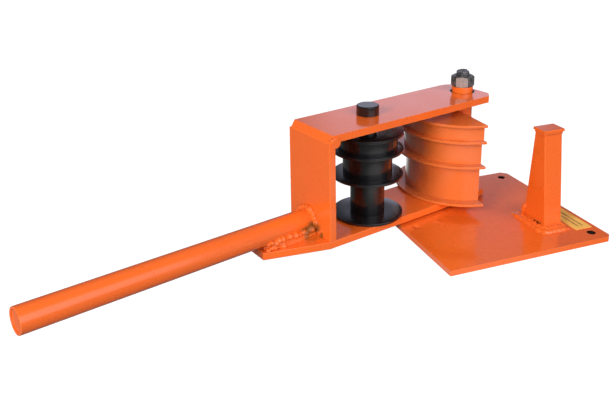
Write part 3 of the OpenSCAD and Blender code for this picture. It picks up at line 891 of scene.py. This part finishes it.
glow = add("ShaderNodeEmission", {"Color": WHITE, "Strength": FLOOR_GLOW}).outputs[0]
lit = add("ShaderNodeAddShader", {0: shader.outputs[0], 1: glow}).outputs[0]
seen = maths(add, "MAXIMUM", rays["Is Camera Ray"], rays["Is Transmission Ray"])
choice = add("ShaderNodeMixShader", {0: seen, 1: shader.outputs[0], 2: lit}).outputs[0]
spot = add("ShaderNodeTexCoord").outputs["Object"]
level = FLOOR_IN_COAT
for place, reach, strength in PATCHES:
    away = vector_maths(add, "DISTANCE", spot, place, output="Value")
    patch = band(add, away, reach, 0.2 * reach, 0.0, strength, interpolation_type="SMOOTHSTEP")
    level = maths(add, "ADD", patch, level)
dim_glow = add("ShaderNodeEmission", {"Color": WHITE, "Strength": level}).outputs[0]
choice = add("ShaderNodeMixShader", {0: rays["Is Glossy Ray"], 1: choice, 2: dim_glow}).outputs[0]
way_out = next(n for n in floor_finish.node_tree.nodes if n.type == "OUTPUT_MATERIAL")
links.new(choice, way_out.inputs[0])
floor_mesh.materials.append(floor_finish)
print("floor with", len(PATCHES), "patches for the gloss")

# %% [markdown]
# ### The room's light
# The room gives a broad light from the front, a little to the right. Gloss sees it weaker, together with a
# bright panel low behind the tool, which the flat tops mirror. The panel fades out upwards and sideways.


# %% Directions in the room
def toward(compass, height):
    """Direction at a compass angle from the plate's back, turning right, and a height, both in degrees."""
    compass, height = math.radians(compass), math.radians(height)
    return (math.sin(compass) * math.cos(height), math.cos(compass) * math.cos(height), math.sin(height))


FRONT_LIGHT_FROM = toward(168, 24)
FRONT_LIGHT, FRONT_IN_COAT = 3.6, 0.45
ROOM_LIGHT, ROOM_IN_COAT = 0.05, 0.10
PANEL_COMPASS, PANEL_LIGHT = 29, 0.75
PANEL_TINT = (0.92, 0.92, 1.18, 1)
print("front light from", [round(v, 2) for v in FRONT_LIGHT_FROM])

# %% The room
world = bpy.data.worlds.new("studio_room")
bpy.context.scene.world = world
world.use_nodes = True
world.node_tree.nodes.clear()
add = adder(world.node_tree)
rays = add("ShaderNodeLightPath").outputs
way = add("ShaderNodeTexCoord").outputs["Generated"]


def facing_part(direction):
    """How far a direction of the room points toward another, from -1 to 1."""
    return vector_maths(add, "DOT_PRODUCT", way, direction, output="Value")


front = maths(add, "POWER", maths(add, "MAXIMUM", facing_part(FRONT_LIGHT_FROM), 0.0), 8.0)
off_centre = maths(add, "ABSOLUTE", facing_part(toward(PANEL_COMPASS + 90, 0)))
sideways = band(add, off_centre, 0.205, 0.10, interpolation_type="SMOOTHSTEP")
behind = maths(add, "GREATER_THAN", facing_part(toward(PANEL_COMPASS, 0)), 0.0)
upwards = add("ShaderNodeValToRGB", {0: add("ShaderNodeSeparateXYZ", {0: way}).outputs[2]})
stops = upwards.color_ramp.elements
for place, level in ((0.30, 1.0), (0.36, 0.40), (0.39, 0.28), (0.47, 0.20)):
    stops.new(place).color = (level, level, level, 1)
stops[0].color = WHITE
stops[-1].color = (0, 0, 0, 1)
stops[-1].position = 0.60
panel = maths(add, "MULTIPLY", maths(add, "MULTIPLY", sideways, upwards.outputs[0]), behind)
panel = maths(add, "MULTIPLY_ADD", panel, PANEL_LIGHT - ROOM_IN_COAT, ROOM_IN_COAT)
in_coat = maths(add, "ADD", panel, maths(add, "MULTIPLY", front, FRONT_IN_COAT))
for_gloss = add("ShaderNodeBackground", {0: PANEL_TINT, 1: in_coat}).outputs[0]
light = maths(add, "MULTIPLY_ADD", front, FRONT_LIGHT, ROOM_LIGHT)
on_object = add("ShaderNodeBackground", {0: WHITE, 1: light}).outputs[0]
backdrop = add("ShaderNodeBackground", {0: WHITE, 1: 1.0}).outputs[0]
seen = maths(add, "MAXIMUM", rays["Is Camera Ray"], rays["Is Transmission Ray"])
choice = add("ShaderNodeMixShader", {0: rays["Is Glossy Ray"], 1: on_object, 2: for_gloss}).outputs[0]
choice = add("ShaderNodeMixShader", {0: seen, 1: choice, 2: backdrop}).outputs[0]
add("ShaderNodeOutputWorld", {0: choice})
print("room:", len(world.node_tree.nodes), "nodes")

# %% [markdown]
# ### Lamps
# Three square lamps shape the light. A small one stands on the left, so that the roller shades the left of
# the die. A broad one in front fills, and it alone shows in the gloss. A weak one stands high behind.


# %% Three lamps
def softbox(name, place, aim, size, power, mirrored=False):
    """A square lamp at a place, facing a point. Mirrored lets gloss show the lamp itself."""
    lamp = bpy.data.lights.new(name, "AREA")
    lamp.shape = "SQUARE"
    lamp.size = size
    lamp.energy = power
    thing = bpy.data.objects.new(name, lamp)
    bpy.context.scene.collection.objects.link(thing)
    thing.location = place
    thing.rotation_mode = "QUATERNION"
    thing.rotation_quaternion = (Vector(aim) - Vector(place)).to_track_quat("-Z", "Y")
    thing.visible_glossy = mirrored


tool_middle = (cad_low + cad_high) / 2
softbox("left_lamp", (-1.89, -0.94, 0.85), tool_middle, 0.9, 42.0)
softbox("front_lamp", (0.45, -2.2, 0.9), tool_middle, 3.0, 20.0, mirrored=True)
softbox("high_lamp", (0.3, 1.0, 2.0), tool_middle, 1.2, 9.0)
print("three lamps round", [round(v, 2) for v in tool_middle])

# %% [markdown]
# ## Camera
# The photograph's perspective was solved from the edges of the plates, the flanges and the tube. It gives the
# camera's place, its tilt, its lens and a small shift down the frame.

# %% The camera
PHOTO_WIDTH, PHOTO_HEIGHT = 616, 411
camera_place = Vector((-0.46302, -0.73601, 0.38035))
heading, tilt, roll = 0.3449, 0.3192, 0.0222
lens_pixels, centre_row = 731.64, 121.65
forward = Vector((math.sin(heading) * math.cos(tilt), math.cos(heading) * math.cos(tilt), -math.sin(tilt)))
level = Vector((math.cos(heading), -math.sin(heading), 0))
down = forward.cross(level)
right = level * math.cos(roll) + down * math.sin(roll)
up = level * math.sin(roll) - down * math.cos(roll)
camera = bpy.data.objects.new("photo_camera", bpy.data.cameras.new("photo_camera"))
bpy.context.scene.collection.objects.link(camera)
camera.location = camera_place
camera.rotation_mode = "QUATERNION"
camera.rotation_quaternion = Matrix((right, up, -forward)).transposed().to_quaternion()
camera.data.sensor_width = 36.0
camera.data.lens = lens_pixels / PHOTO_WIDTH * camera.data.sensor_width
camera.data.shift_y = (centre_row - PHOTO_HEIGHT / 2) / PHOTO_WIDTH
camera.data.clip_start, camera.data.clip_end = 0.01, 100.0
bpy.context.scene.camera = camera
bpy.context.scene.view_settings.view_transform = "Standard"
print("camera lens", round(camera.data.lens, 2), "mm, shift", round(camera.data.shift_y, 4))

# %% [markdown]
# ## Sizes
# The solids' box is printed at the end.

# %% Print the solids' box
print("solids' box", [round(v, 4) for v in (*cad_low, *cad_high)])
